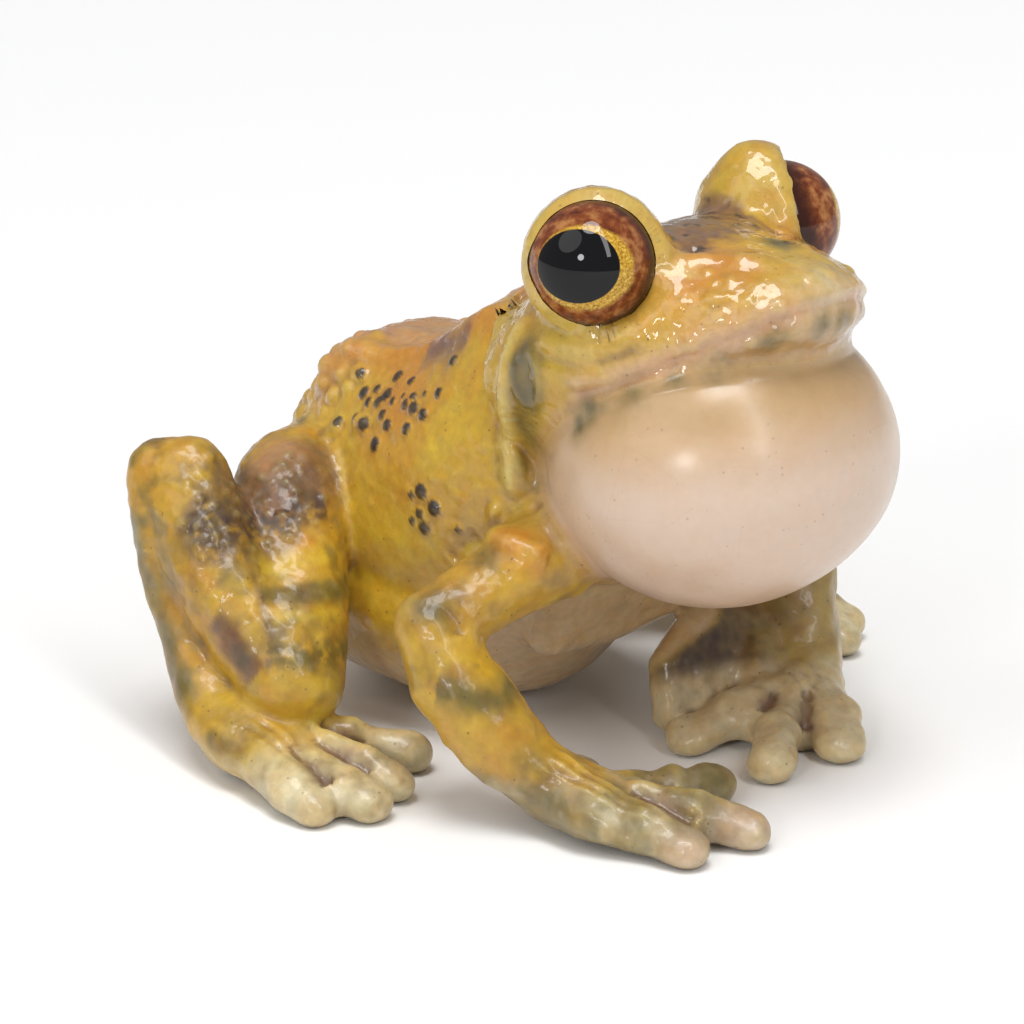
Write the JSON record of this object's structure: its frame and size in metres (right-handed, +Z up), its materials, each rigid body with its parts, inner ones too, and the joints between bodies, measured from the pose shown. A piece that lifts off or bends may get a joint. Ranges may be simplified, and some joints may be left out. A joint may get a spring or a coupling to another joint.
{
  "type": "calling frog figurine",
  "caption": "Glossy hand-painted figurine of a crouching frog calling with its throat sac blown up, head raised, free-standing on flat soles.",
  "frame": {"origin": "middle of the overall box in plan, on the surface that the soles stand on", "axes": "+Z up, -Y the way the frog faces, +X to its left"},
  "size_m": [0.0838, 0.0766, 0.0619],
  "materials": {
    "body_resin": "hand-painted ochre, orange and brown, clear gloss varnish",
    "head_resin": "hand-painted ochre with mauve and olive shading, clear gloss varnish",
    "sac_resin": "hand-painted cream pink, clear gloss varnish",
    "limb_resin": "hand-painted ochre and olive bars fading to cream toes, clear gloss varnish",
    "eye_glass": "painted iris and pupil under a thick glassy clear coat",
    "dowel_steel": "plain drawn steel",
    "plug_rubber": "matt moulded rubber"
  },
  "bodies": {
    "root": {"torso_shell": "body_resin", "head_shell": "head_resin", "vocal_sac": "sac_resin", "right_eye": "eye_glass", "left_eye": "eye_glass", "right_foreleg": "limb_resin", "left_foreleg": "limb_resin", "right_hind_leg": "limb_resin", "left_hind_leg": "limb_resin", "right_shoulder_dowel": "dowel_steel", "left_shoulder_dowel": "dowel_steel", "right_hip_dowel": "dowel_steel", "left_hip_dowel": "dowel_steel", "belly_plug": "plug_rubber"}
  },
  "joints": []
}
